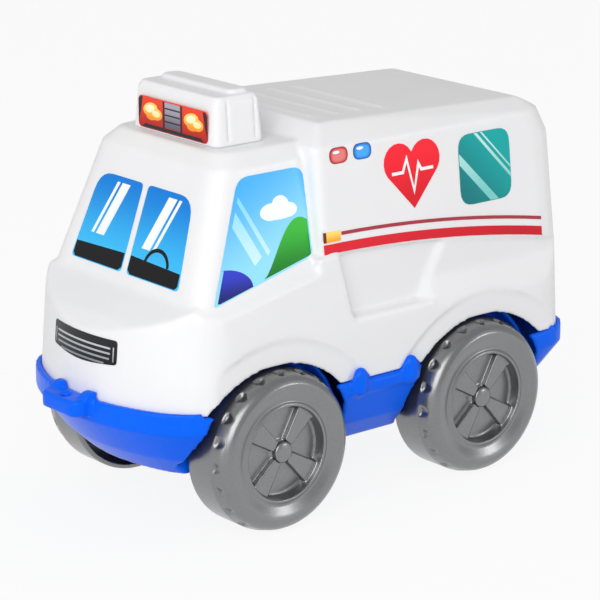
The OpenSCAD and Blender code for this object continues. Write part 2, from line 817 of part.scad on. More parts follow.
// Plain heart, drawn on the size of its square
module heart(size) {
    lobe = size * lobe_share;
    lobe_x = lobe * lobe_apart_share;
    lobe_y = size * lobe_up_share;
    polygon(concat(
        [[0, -size * point_share]],
        [for (a = [-38:19:152]) [lobe_x + lobe * cos(a), lobe_y + lobe * sin(a)]],
        [for (a = [28:19:218]) [-lobe_x + lobe * cos(a), lobe_y + lobe * sin(a)]]));
}
module emblem_label(s) {
    color("red") on_box_side(s) translate([front_y + emblem_back, up_box(emblem_z)]) heart(emblem_size);
}

module rear_window_label(s) {
    color("teal") on_box_side(s) translate([front_y + pane_back, up_box(pane_z) - pane_h / 2])
        polygon(box_outline(pane_w / 2, 0, pane_h, pane_round, pane_round));
}

module side_lamp_labels(s) {
    color("crimson") on_box_side(s) for (i = [0, 1])
        translate([front_y + lamp_back + i * lamp_pitch, up_box(lamp_z) - lamp_h / 2])
        polygon(box_outline(lamp_w / 2, 0, lamp_h, lamp_round, lamp_round));
}

// One stripe along the crease, from a start to an end station, between two heights over it
module stripe(from, to, low, high) {
    n = stripe_steps;
    ys = [for (i = [0:n]) mix(from, to, i / n)];
    polygon(concat(
        [for (y = ys) [y, up_box(crease(y) + low)]],
        [for (i = [n:-1:0]) [ys[i], up_box(crease(ys[i]) + high)]]));
}
module stripe_label(s) {
    color("red") on_box_side(s) {
        stripe(box_y + stripe_front, box_y + stripe_len, stripe_up, stripe_up + stripe_h);
        stripe(box_y + pin_stripe_front + over, box_y + stripe_len, pin_stripe_up, pin_stripe_up + pin_stripe_h);
        stripe(box_y + stripe_front, box_y + stripe_front + marker_len, marker_up, marker_up + marker_h);
    }
}

body_shell();
light_bar();
chassis();
axle(front_y);  // front_axle
axle(rear_y);  // rear_axle
at_wheel(front_y, 1) wheel_solid();  // wheel_front_left
at_wheel(front_y, -1) wheel_solid();  // wheel_front_right
at_wheel(rear_y, 1) wheel_solid();  // wheel_rear_left
at_wheel(rear_y, -1) wheel_solid();  // wheel_rear_right
at_wheel(front_y, 1) cap_solid();  // hub_cap_front_left
at_wheel(front_y, -1) cap_solid();  // hub_cap_front_right
at_wheel(rear_y, 1) cap_solid();  // hub_cap_rear_left
at_wheel(rear_y, -1) cap_solid();  // hub_cap_rear_right
axle_push_nuts();
body_screws();
windscreen_label(1);  // windscreen_label_left
windscreen_label(-1);  // windscreen_label_right
grille_label();
light_bar_label();
cab_window_label(1);  // cab_window_label_left
cab_window_label(-1);  // cab_window_label_right
emblem_label(1);  // emblem_label_left
emblem_label(-1);  // emblem_label_right
rear_window_label(1);  // rear_window_label_left
rear_window_label(-1);  // rear_window_label_right
stripe_label(1);  // stripe_label_left
stripe_label(-1);  // stripe_label_right
side_lamp_labels(1);  // side_lamp_labels_left
side_lamp_labels(-1);  // side_lamp_labels_right
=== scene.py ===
"""Looks of the toy ambulance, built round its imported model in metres."""

from __future__ import annotations

import itertools
import logging
import math
from dataclasses import dataclass, field
from enum import Enum

import bpy
from mathutils import Matrix, Vector

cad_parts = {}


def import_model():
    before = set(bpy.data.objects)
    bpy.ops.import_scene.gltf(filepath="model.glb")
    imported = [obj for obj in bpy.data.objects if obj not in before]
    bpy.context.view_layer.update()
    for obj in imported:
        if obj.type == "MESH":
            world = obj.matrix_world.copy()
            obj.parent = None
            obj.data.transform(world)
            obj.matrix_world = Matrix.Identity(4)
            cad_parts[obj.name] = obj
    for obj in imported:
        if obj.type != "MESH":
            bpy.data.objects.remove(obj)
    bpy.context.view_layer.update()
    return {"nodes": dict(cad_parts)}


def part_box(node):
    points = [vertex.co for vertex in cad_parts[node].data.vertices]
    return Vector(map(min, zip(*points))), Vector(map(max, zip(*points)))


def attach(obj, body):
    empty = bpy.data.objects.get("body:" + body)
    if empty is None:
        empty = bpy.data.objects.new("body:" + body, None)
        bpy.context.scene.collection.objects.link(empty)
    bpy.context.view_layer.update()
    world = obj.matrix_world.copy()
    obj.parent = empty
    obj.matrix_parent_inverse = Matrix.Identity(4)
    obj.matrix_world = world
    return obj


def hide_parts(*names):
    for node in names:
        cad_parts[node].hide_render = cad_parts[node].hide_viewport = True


LOG = logging.getLogger("ambulance")
BODY = "ambulance"
MIRROR = (-1, 1)

# Heights of the printed details over the face that carries a film: just over the film, one more layer of ink,
# and the small step between shapes of one layer. Then the thickness of an ink and of a grille bar.
FILM = 0.00033
LAYER = 0.00003
INK_STEP = 0.000004
INK_THICK = 0.00005
BAR_THICK = 0.00012

# Corners closer than this are merged in a copied mesh.
MERGE = 1e-5
OVAL_CORNERS = 28

# Numbers of the colour sockets of a mix node.
MIX_SHARE, MIX_A, MIX_B, MIX_RESULT = 0, 6, 7, 2

Pair = tuple[float, float]
Triple = tuple[float, float, float]
Point = Pair
Color = Triple
Outline = list[Point]
Nodes = dict[str, bpy.types.Object]


class Side(Enum):
    """The two sides of the vehicle, with the sign of x on each."""

    LEFT = 1
    RIGHT = -1

    @property
    def word(self) -> str:
        """Name of the side as the nodes use it."""
        return self.name.lower()


class End(Enum):
    """The two axles, by their names in the nodes."""

    FRONT = "front"
    REAR = "rear"


def linear(r: int, g: int, b: int) -> Color:
    """Turns a screen colour into a linear one.

    Args:
        r: Red from 0 to 255.
        g: Green from 0 to 255.
        b: Blue from 0 to 255.

    Returns:
        The colour in linear light.
    """
    def one(v: int) -> float:
        """One channel in linear light."""
        c = v / 255
        return c / 12.92 if c <= 0.04045 else ((c + 0.055) / 1.055) ** 2.4
    return one(r), one(g), one(b)


class Graph:
    """A material's node graph, built step by step."""

    def __init__(self, name: str) -> None:
        """Starts an empty material.

        Args:
            name: The material's name.
        """
        self.material = bpy.data.materials.new(name)
        self.material.use_nodes = True
        self.tree = self.material.node_tree
        self.tree.nodes.clear()
        self.out = self.tree.nodes.new("ShaderNodeOutputMaterial")

    def node(self, kind: str, inputs: dict | None = None, **settings: object) -> bpy.types.Node:
        """Adds a node.

        Args:
            kind: Blender's node type.
            inputs: Values or sockets for its inputs, by name or number.
            settings: The node's own settings.

        Returns:
            The node.
        """
        made = self.tree.nodes.new(kind)
        for key, value in settings.items():
            setattr(made, key, value)
        for key, value in (inputs or {}).items():
            if isinstance(value, bpy.types.NodeSocket):
                self.tree.links.new(value, made.inputs[key])
            elif isinstance(value, tuple) and made.inputs[key].type == "RGBA":
                made.inputs[key].default_value = (*value, 1)
            else:
                made.inputs[key].default_value = value
        return made

    def math(self, operation: str, a: object, b: object = 0.0) -> bpy.types.NodeSocket:
        """A math node's result."""
        return self.node("ShaderNodeMath", {0: a, 1: b}, operation=operation).outputs[0]

    def ramp(self, value: object, low: float, high: float, to_low: float = 0.0,
             to_high: float = 1.0) -> bpy.types.NodeSocket:
        """Maps a value smoothly from one range to another.

        Args:
            value: The socket to map.
            low: Start of the range.
            high: End of the range.
            to_low: Result at the start.
            to_high: Result at the end.

        Returns:
            The mapped value.
        """
        inputs = {"Value": value, "From Min": low, "From Max": high, "To Min": to_low, "To Max": to_high}
        return self.node("ShaderNodeMapRange", inputs, interpolation_type="SMOOTHSTEP").outputs[0]

    def mix(self, share: object, a: object, b: object, blend: str = "MIX") -> bpy.types.NodeSocket:
        """Mixes two colours."""
        inputs = {MIX_SHARE: share, MIX_A: a, MIX_B: b}
        return self.node("ShaderNodeMix", inputs, data_type="RGBA", blend_type=blend).outputs[MIX_RESULT]

    def place(self) -> bpy.types.NodeSocket:
        """Object coordinates."""
        return self.node("ShaderNodeTexCoord").outputs["Object"]

    def axes(self) -> tuple[bpy.types.NodeSocket, ...]:
        """Object coordinates as x, y and z."""
        return tuple(self.node("ShaderNodeSeparateXYZ", {0: self.place()}).outputs)

    def noise(self, scale: float, detail: float, stretch: Triple | None = None) -> bpy.types.NodeSocket:
        """Noise on the object's coordinates.

        Args:
            scale: Cells per metre.
            detail: Octaves.
            stretch: Scale along each axis.

        Returns:
            The noise value.
        """
        at = self.place()
        if stretch:
            at = self.node("ShaderNodeMapping", {0: at, "Scale": stretch}).outputs[0]
        return self.node("ShaderNodeTexNoise", {"Vector": at, "Scale": scale, "Detail": detail}).outputs[0]

    def bump(self, strength: float, depth: float, height: object) -> bpy.types.NodeSocket:
        """Normals of a fine relief."""
        inputs = {"Strength": strength, "Distance": depth, "Height": height}
        return self.node("ShaderNodeBump", inputs).outputs[0]

    def finish(self, inputs: dict) -> bpy.types.Material:
        """Closes the graph with a principled surface.

        Args:
            inputs: Values or sockets of the surface.

        Returns:
            The material.
        """
        surface = self.node("ShaderNodeBsdfPrincipled", inputs)
        self.tree.links.new(surface.outputs[0], self.out.inputs[0])
        return self.material


@dataclass(frozen=True)
class MouldedPlastic:
    """Moulded plastic with a fine grain, faint flow marks, worn edges, and dust with painted shade in its corners.
    """

    name: str
    color: Color
    roughness: float
    dust_and_shade_color: Color
    coat: float = 0.25
    coat_roughness: float = 0.12
    specular: float = 0.5
    metallic: float = 0.0
    mottle: float = 0.03
    mottle_scale: float = 14
    mottle_range: Pair = (0.3, 0.7)
    flake: float = 0.0
    flake_scale: float = 2600
    flake_range: Pair = (0.45, 0.75)
    flake_gain: float = 2.2
    dust_and_shade_share: float = 0.35
    nook: Pair = (0.42, 0.485)
    edge: Pair = (0.53, 0.62)
    edge_scale: float = 60
    edge_range: Pair = (0.4, 0.7)
    edge_share: float = 0.25
    edge_gain: float = 1.25
    edge_lift: float = 0.03
    edge_wear: float = 0.12
    wear: float = 0.04
    wear_scale: float = 16
    wear_range: Pair = (0.25, 0.95)
    grain: float = 0.05
    grain_scale: float = 900
    grain_depth: float = 0.0004

    def toned(self, gain: float, lift: float = 0.0) -> Color:
        """The plastic's colour at another strength, never past white."""
        return tuple(min(1.0, c * gain + lift) for c in self.color)

    def material(self) -> bpy.types.Material:
        """Builds the material.

        Returns:
            The material.
        """
        g = Graph(self.name)
        cloud = g.ramp(g.noise(self.mottle_scale, detail=3), *self.mottle_range)
        color = g.mix(cloud, self.toned(1 - self.mottle), self.toned(1 + self.mottle))
        if self.flake:
            speck = g.ramp(g.noise(self.flake_scale, detail=1), *self.flake_range)
            color = g.mix(g.math("MULTIPLY", speck, self.flake), color, self.toned(self.flake_gain))
        point = g.node("ShaderNodeNewGeometry").outputs["Pointiness"]
        # Painted shade: hollows found by pointiness darken towards the fourth colour, which stands for dust and
        # for the shade that falls in them.
        dust_and_shade = g.math("MULTIPLY", g.ramp(point, *self.nook, 1, 0), self.dust_and_shade_share)
        color = g.mix(dust_and_shade, color, self.dust_and_shade_color)
        patch = g.ramp(g.noise(self.edge_scale, detail=4), *self.edge_range)
        worn = g.math("MULTIPLY", g.ramp(point, *self.edge), patch)
        color = g.mix(g.math("MULTIPLY", worn, self.edge_share), color, self.toned(self.edge_gain, self.edge_lift))
        wear = g.math("MULTIPLY", g.ramp(g.noise(self.wear_scale, detail=3), *self.wear_range), self.wear)
        wear = g.math("ADD", wear, g.math("MULTIPLY", worn, self.edge_wear))
        grain = g.noise(self.grain_scale, detail=3)
        return g.finish({"Base Color": color, "Roughness": g.math("ADD", wear, self.roughness),
                         "Metallic": self.metallic, "Specular IOR Level": self.specular,
                         "Coat Weight": self.coat, "Coat Roughness": self.coat_roughness,
                         "Normal": g.bump(self.grain, self.grain_depth, grain)})


@dataclass(frozen=True)
class FilmGloss:
    """Gloss of a printed film: a faint screen of dots, a few scuffs and a thin coat."""

    roughness: float = 0.22
    specular: float = 0.22
    coat: float = 0.05
    coat_roughness: float = 0.1
    dot_scale: float = 3000
    dot_range: Pair = (0.35, 0.65)
    dot_tone: Pair = (0.97, 1.03)
    scuff: float = 0.05
    scuff_scale: float = 24
    scuff_range: Pair = (0.45, 0.75)
    relief: float = 0.04
    relief_scale: float = 500
    relief_depth: float = 0.0003

    def close(self, g: Graph, color: object) -> bpy.types.Material:
        """Closes a print's graph.

        Args:
            g: The graph so far.
            color: The ink's colour.

        Returns:
            The material.
        """
        dots = g.ramp(g.noise(self.dot_scale, detail=1), *self.dot_range, *self.dot_tone)
        scuff = g.math("MULTIPLY", g.ramp(g.noise(self.scuff_scale, detail=3), *self.scuff_range), self.scuff)
        relief = g.noise(self.relief_scale, detail=2)
        return g.finish({"Base Color": g.mix(1.0, color, dots, "MULTIPLY"),
                         "Roughness": g.math("ADD", scuff, self.roughness),
                         "Coat Weight": self.coat, "Coat Roughness": self.coat_roughness,
                         "Specular IOR Level": self.specular,
                         "Normal": g.bump(self.relief, self.relief_depth, relief)})


GLOSS = FilmGloss()


@dataclass(frozen=True)
class PrintedInk:
    """Gloss ink on film, running from one colour to another along a direction."""

    name: str
    low: Color
    high: Color
    axis: Triple = (0, 0, 1)
    start: float = 0.0
    end: float = 1.0

    def material(self) -> bpy.types.Material:
        """Builds the material.

        Returns:
            The material.
        """
        g = Graph(self.name)
        along = g.node("ShaderNodeVectorMath", {0: g.place(), 1: self.axis}, operation="DOT_PRODUCT")
        share = g.ramp(along.outputs["Value"], self.start, self.end)
        return GLOSS.close(g, g.mix(share, self.low, self.high))


@dataclass(frozen=True)
class DrawnSteel:
    """Bright drawn wire and turned fastener steel, with fine lines round its axis."""

    name: str
    color: Color = (0.55, 0.55, 0.57)
    shade: float = 0.8
    line_scale: float = 40
    line_stretch: Triple = (1, 60, 60)
    line_range: Pair = (0.3, 0.7)
    roughness: Pair = (0.25, 0.45)
    roughness_range: Pair = (0.2, 0.8)
    relief: float = 0.1
    relief_depth: float = 0.0002

    def material(self) -> bpy.types.Material:
        """Builds the material.

        Returns:
            The material.
        """
        g = Graph(self.name)
        lines = g.noise(self.line_scale, detail=4, stretch=self.line_stretch)
        dark = tuple(c * self.shade for c in self.color)
        return g.finish({"Base Color": g.mix(g.ramp(lines, *self.line_range), dark, self.color), "Metallic": 1.0,
                         "Roughness": g.ramp(lines, *self.roughness_range, *self.roughness),
                         "Normal": g.bump(self.relief, self.relief_depth, lines)})


# The fourth colour of each plastic is what its hollows darken to: dust together with painted shade.
WHITE_PLASTIC = MouldedPlastic("gloss_white_plastic", (0.82, 0.82, 0.83), 0.36, (0.42, 0.42, 0.45),
                               coat=0.05, specular=0.35, mottle=0.012, wear=0.03)
BLUE_PLASTIC = MouldedPlastic("gloss_blue_plastic", (0.0, 0.125, 0.9), 0.285, linear(4, 30, 130),
                              coat=0.0, specular=0.12)
# The wheels' near-black hollow colour, at a high share, paints shade into the dish between the spokes.
GREY_PLASTIC = MouldedPlastic("silver_grey_plastic", (0.225, 0.227, 0.231), 0.3, (0.03, 0.03, 0.034),
                              coat=0.3, metallic=0.9, flake=0.25, dust_and_shade_share=0.7)
STEEL = DrawnSteel("drawn_steel")
WHITE_INK = PrintedInk("white_ink", (0.86, 0.9, 0.92), (0.93, 0.95, 0.96), start=0.16, end=0.26)
BLACK_INK = PrintedInk("black_ink", linear(14, 14, 17), linear(30, 30, 34), start=0.16, end=0.28)


def select_only(piece: bpy.types.Object) -> None:
    """Deselects everything, then selects one piece and makes it active.

    Args:
        piece: The piece.
    """
    bpy.ops.object.select_all(action="DESELECT")
    piece.select_set(True)
    bpy.context.view_layer.objects.active = piece


def in_edit(piece: bpy.types.Object, *steps: tuple) -> None:
    """Runs edit-mode operators on a whole piece.

    Args:
        piece: The piece.
        steps: Operators with their settings, in order.
    """
    select_only(piece)
    bpy.ops.object.mode_set(mode="EDIT")
    bpy.ops.mesh.select_all(action="SELECT")
    for operator, settings in steps:
        operator(**settings)
    bpy.ops.object.mode_set(mode="OBJECT")


def thicken(piece: bpy.types.Object, way: Vector) -> None:
    """Extrudes a flat piece into a closed plate whose faces point outwards.

    Args:
        piece: The piece.
        way: Direction and length of the extrusion.
    """
    in_edit(piece,
            (bpy.ops.mesh.extrude_region_move, {"TRANSFORM_OT_translate": {"value": way}}),
            (bpy.ops.mesh.select_all, {"action": "SELECT"}),
            (bpy.ops.mesh.normals_make_consistent, {"inside": False}))


def apply(piece: bpy.types.Object, kind: str, **settings: object) -> None:
    """Adds a modifier and applies it.

    Args:
        piece: The piece.
        kind: The modifier's type.
        settings: Its settings.
    """
    made = piece.modifiers.new(kind.lower(), kind)
    for key, value in settings.items():
        setattr(made, key, value)
    select_only(piece)
    bpy.ops.object.modifier_apply(modifier=made.name)


def dress(piece: bpy.types.Object, material: bpy.types.Material) -> None:
    """Gives a piece one material all over."""
    piece.data.materials.clear()
    piece.data.materials.append(material)


def copy_of(node: str, name: str) -> bpy.types.Object:
    """Copies a CAD node's mesh into a new, merged piece.

    Args:
        node: The node's name.
        name: Name of the piece.

    Returns:
        The piece.
    """
    source = bpy.data.objects[node]
    piece = bpy.data.objects.new(name, source.data.copy())
    bpy.context.scene.collection.objects.link(piece)
    in_edit(piece, (bpy.ops.mesh.remove_doubles, {"threshold": MERGE}))
    return piece


def cover(piece: bpy.types.Object, body: str, slot: str, *nodes: str) -> None:
    """Lets a piece ride on a body in place of CAD nodes.

    Args:
        piece: The piece.
        body: The body's name.
        slot: The record's material slot, which is not used.
        nodes: The nodes it stands for.
    """
    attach(piece, body)
    if nodes:
        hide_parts(*nodes)
    LOG.info("%s: %d faces", piece.name, len(piece.data.polygons))


def join(piece: bpy.types.Object, *others: bpy.types.Object) -> None:
    """Joins other meshes into a piece.

    Args:
        piece: The piece.
        others: The meshes that become part of it.
    """
    select_only(piece)
    for other in others:
        other.select_set(True)
    bpy.ops.object.join()


def block(low: Triple, high: Triple) -> bpy.types.Object:
    """Makes a filler box, to be joined into a moulding.

    Args:
        low: Its lowest corner.
        high: Its highest corner.

    Returns:
        The box.
    """
    near, far = Vector(low), Vector(high)
    bpy.ops.object.select_all(action="DESELECT")
    bpy.ops.mesh.primitive_cube_add(size=1, location=(near + far) / 2, scale=far - near)
    bpy.ops.object.transform_apply(location=True, rotation=True, scale=True)
    return bpy.context.object


@dataclass
class Moulding:
    """A CAD solid turned into one soft-edged moulding."""

    node: str
    slot: str
    voxel: float
    rounds: int
    body: str = BODY
    budget: int = 185000

    def fill(self, piece: bpy.types.Object) -> None:
        """Adds what is joined into the moulding before the remesh, which is nothing on a plain one."""

    def soften(self, piece: bpy.types.Object) -> None:
        """Rounds all edges evenly by a fine remesh and a light smoothing, within a count of triangles.

        Args:
            piece: The moulding.
        """
        apply(piece, "REMESH", mode="VOXEL", voxel_size=self.voxel, use_smooth_shade=True)
        apply(piece, "SMOOTH", factor=0.5, iterations=self.rounds)
        triangles = 2 * len(piece.data.polygons)
        if triangles > self.budget:
            apply(piece, "DECIMATE", ratio=self.budget / triangles)
        select_only(piece)
        bpy.ops.object.shade_smooth()

    def build(self, material: bpy.types.Material) -> None:
        """Makes the moulding and dresses it.

        Args:
            material: Its plastic.
        """
        piece = copy_of(self.node, self.node + "_moulding")
        self.fill(piece)
        self.soften(piece)
        dress(piece, material)
        cover(piece, self.body, self.slot, self.node)


@dataclass
class BodyShell(Moulding):
    """The white shell, whose closed upper room is filled so that only its skin is meshed."""

    node: str = "body_shell"
    slot: str = "shell_white"
    voxel: float = 0.0017
    rounds: int = 5
    lid_z: Pair = (0.1245, 0.1285)
    wide_lid: Triple = (0.0815, 0.052, 0.022)
    slim_lid: Triple = (0.052, 0.016, 0.006)
    nose_lid: Pair = (0.03, 0.006)
    peg_x: float = 0.026
    peg_y: float = -0.076
    plug: float = 0.0046
    plug_z: Pair = (0.2556, 0.2576)

    def fill(self, piece: bpy.types.Object) -> None:
        """Adds a floor over the wheel wells and plugs the two peg holes in the roof.

        Args:
            piece: The moulding.
        """
        low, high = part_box(self.node)
        foot, head = self.lid_z
        fillers = []
        for half, from_nose, from_tail in (self.wide_lid, self.slim_lid):
            fillers.append(block((-half, low.y + from_nose, foot), (half, high.y - from_tail, head)))
        half, from_nose = self.nose_lid
        fillers.append(block((-half, low.y + from_nose, foot), (half, 0, head)))
        foot, head = self.plug_z
        for s in MIRROR:
            x, y, r = s * self.peg_x, self.peg_y, self.plug
            fillers.append(block((x - r, y - r, foot), (x + r, y + r, head)))
        join(piece, *fillers)


@dataclass
class LightBar(Moulding):
    """The white light bar on the cab roof."""

    node: str = "light_bar"
    slot: str = "shell_white"
    voxel: float = 0.0009
    rounds: int = 5


@dataclass
class Underframe(Moulding):
    """The blue chassis, with a rounded knob on each clip and a raised band between the clips."""

    node: str = "chassis"
    slot: str = "chassis_blue"
    voxel: float = 0.0016
    rounds: int = 2
    clips: Pair = (-0.010, 0.036)
    knob: Triple = (0.0046, 0.0052, 0.0062)
    knob_x: float = 0.0946
    knob_z: Triple = (0.0855, 0.0895, 0.0945)
    band_x: Pair = (0.090, 0.0956)
    band_z: Pair = (0.0818, 0.0902)

    def fill(self, piece: bpy.types.Object) -> None:
        """Adds the knobs and the bands.

        Args:
            piece: The moulding.
        """
        for s in MIRROR:
            for y, z in itertools.product(self.clips, self.knob_z):
                bpy.ops.object.select_all(action="DESELECT")
                bpy.ops.mesh.primitive_uv_sphere_add(segments=24, ring_count=16, radius=1, scale=self.knob,
                                                     location=(s * self.knob_x, y, z))
                bpy.ops.object.transform_apply(location=True, rotation=True, scale=True)
                join(piece, bpy.context.object)
            inner, outer = sorted(s * x for x in self.band_x)
            front, rear = self.clips
            foot, head = self.band_z
            join(piece, block((inner, front, foot), (outer, rear, head)))


@dataclass
class Wheel:
    """One moulded wheel with its hub cap."""

    end: End
    side: Side
    slot: str = "wheel_grey"
    voxel: float = 0.00092
    cap_voxel: float = 0.0005
    rounds: int = 1

    def build(self, material: bpy.types.Material) -> None:
        """Makes the wheel and its cap and dresses them.

        Args:
            material: Their plastic.
        """
        place = self.end.value + "_" + self.side.word
        body = place + "_wheel"
        Moulding("wheel_" + place, self.slot, self.voxel, self.rounds, body).build(material)
        Moulding("hub_cap_" + place, self.slot, self.cap_voxel, self.rounds, body).build(material)


@dataclass
class Plane:
    """A flat face of the body that carries printed films, as a point and three directions."""

    origin: Vector
    across: Vector
    up: Vector
    out: Vector

    def at(self, u: float, v: float, rise: float) -> Vector:
        """The point at u across, v up and a rise off the face."""
        return self.origin + u * self.across + v * self.up + rise * self.out

    def shape(self, outline: Outline, rise: float) -> bpy.types.Object:
        """Models one thin flat shape on the face.

        Args:
            outline: Its corners on the face, in metres.
            rise: Height of its underside over the face.

        Returns:
            The shape.
        """
        bpy.ops.object.select_all(action="DESELECT")
        bpy.ops.mesh.primitive_circle_add(vertices=len(outline), fill_type="NGON")
        piece = bpy.context.object
        for corner, (u, v) in zip(piece.data.vertices, outline):
            corner.co = self.at(u, v, rise)
        thicken(piece, self.out * INK_THICK)
        return piece

    def prints(self, name: str, outlines: list[Outline], rise: float, material: bpy.types.Material,
               slot: str) -> None:
        """Models several shapes of one ink as one piece.

        Args:
            name: Name of the piece.
            outlines: The shapes' outlines.
            rise: Height over the face.
            material: Their ink.
            slot: The record's material slot.
        """
        made = [self.shape(outline, rise + i * INK_STEP) for i, outline in enumerate(outlines)]
        self.unite(name, made, material, slot)

    @staticmethod
    def unite(name: str, shapes: list[bpy.types.Object], material: bpy.types.Material, slot: str) -> None:
        """Joins shapes of one ink into one dressed piece.

        Args:
            name: Name of the piece.
            shapes: The shapes.
            material: Their ink.
            slot: The record's material slot.
        """
        if len(shapes) > 1:
            join(*shapes)
        shapes[0].name = name
        dress(shapes[0], material)
        cover(shapes[0], BODY, slot)


@dataclass
class NoseFace(Plane):
    """The rounded, leaning face of the nose."""

    radius: float = 0.142
    lean: float = 5 / 57
    bar_steps: int = 20

    def at(self, u: float, v: float, rise: float) -> Vector:
        """The point at u across, v up and a rise off the rounded face.

        Args:
            u: Length across the face.
            v: Height up the face.
            rise: Height off the face.

        Returns:
            The point.
        """
        sag = self.radius - math.sqrt(self.radius ** 2 - u ** 2)
        flat = self.origin + Vector((u, sag + v * self.lean, v))
        return flat + rise * Vector((u / self.radius, -1, 0)).normalized()

    def strip(self, half: float, low: float, high: float, rise: float) -> bpy.types.Object:
        """Models one bar that follows the rounded face.

        Args:
            half: Half its length.
            low: Height of its lower edge.
            high: Height of its upper edge.
            rise: Height of its underside over the face.

        Returns:
            The bar.
        """
        bpy.ops.object.select_all(action="DESELECT")
        bpy.ops.mesh.primitive_grid_add(x_subdivisions=self.bar_steps, y_subdivisions=1, size=2)
        bar = bpy.context.object
        for corner in bar.data.vertices:
            corner.co = self.at(corner.co.x * half, low if corner.co.y < 0 else high, rise)
        thicken(bar, self.out * BAR_THICK)
        return bar


@dataclass(frozen=True)
class SideWall:
    """The leaning side of the box or the cab: its foot, and how far it falls inwards over a rise."""

    half: float
    foot: float
    fall: float
    rise: float

    def face(self, side: Side) -> Plane:
        """The wall on one side, with u along the vehicle and v up the face.

        Args:
            side: Which side.

        Returns:
            The face.
        """
        s = side.value
        lean = math.atan(self.fall / self.rise)
        return Plane(Vector((s * self.half, 0, self.foot)), Vector((0, 1, 0)),
                     Vector((-s * math.sin(lean), 0, math.cos(lean))),
                     Vector((s * math.cos(lean), 0, math.sin(lean))))

    def up(self, z: float) -> float:
        """Length up the face to a height."""
        return (z - self.foot) * math.hypot(self.fall, self.rise) / self.rise

    def lift(self, points: Outline) -> Outline:
        """Heights of an outline turned into lengths up the face."""
        return [(y, self.up(z)) for y, z in points]


BOX_WALL = SideWall(0.090, 0.1825, 0.008, 0.0725)
CAB_WALL = SideWall(0.086, 0.163, 0.016, 0.085)


def oval(u: float, v: float, a: float, b: float, turn: float = 0.0) -> Outline:
    """Corners of an oval.

    Args:
        u: Its centre across.
        v: Its centre up.
        a: Half its length.
        b: Half its height.
        turn: Angle that it is turned by.

    Returns:
        The corners in order.
    """
    angles = [2 * math.pi * i / OVAL_CORNERS for i in range(OVAL_CORNERS)]
    c, s = math.cos(turn), math.sin(turn)
    ring = [(a * math.cos(t), b * math.sin(t)) for t in angles]
    return [(u + x * c - y * s, v + x * s + y * c) for x, y in ring]


def bow(centre: Point, radii: Pair, first: float, sweep: float, steps: int) -> Outline:
    """Points along part of an oval.

    Args:
        centre: The oval's centre.
        radii: Its half-sizes.
        first: Angle of the first point in degrees.
        sweep: Angle from the first to the last point.
        steps: Steps between them.

    Returns:
        The points in order.
    """
    angles = [math.radians(first + sweep * k / steps) for k in range(steps + 1)]
    return [(centre[0] + radii[0] * math.cos(t), centre[1] + radii[1] * math.sin(t)) for t in angles]


def rect(left: float, foot: float, right: float, head: float) -> Outline:
    """Corners of an upright rectangle."""
    return [(left, foot), (right, foot), (right, head), (left, head)]


def moved(points: tuple[Point, ...], u: float, v: float) -> Outline:
    """An outline shifted to a place."""
    return [(u + a, v + b) for a, b in points]


def stroke(line: Outline, width: float) -> Outline:
    """Outline of a line of even width with mitred corners.

    Args:
        line: The line's corners.
        width: Its width.

    Returns:
        The outline, up one side and down the other.
    """
    sharpest = 0.4
    left, right = [], []
    for i, corner in enumerate(line):
        here = Vector(corner)
        last = Vector(line[max(i - 1, 0)])
        following = Vector(line[min(i + 1, len(line) - 1)])
        before = (here - last).normalized() if i > 0 else (following - here).normalized()
        after = (following - here).normalized() if i < len(line) - 1 else before
        square = Vector((-before.y, before.x))
        mitre = (square + Vector((-after.y, after.x))).normalized()
        mitre *= width / 2 / max(sharpest, mitre.dot(square))
        left.append(tuple(here + mitre))
        right.append(tuple(here - mitre))
    return left + right[::-1]


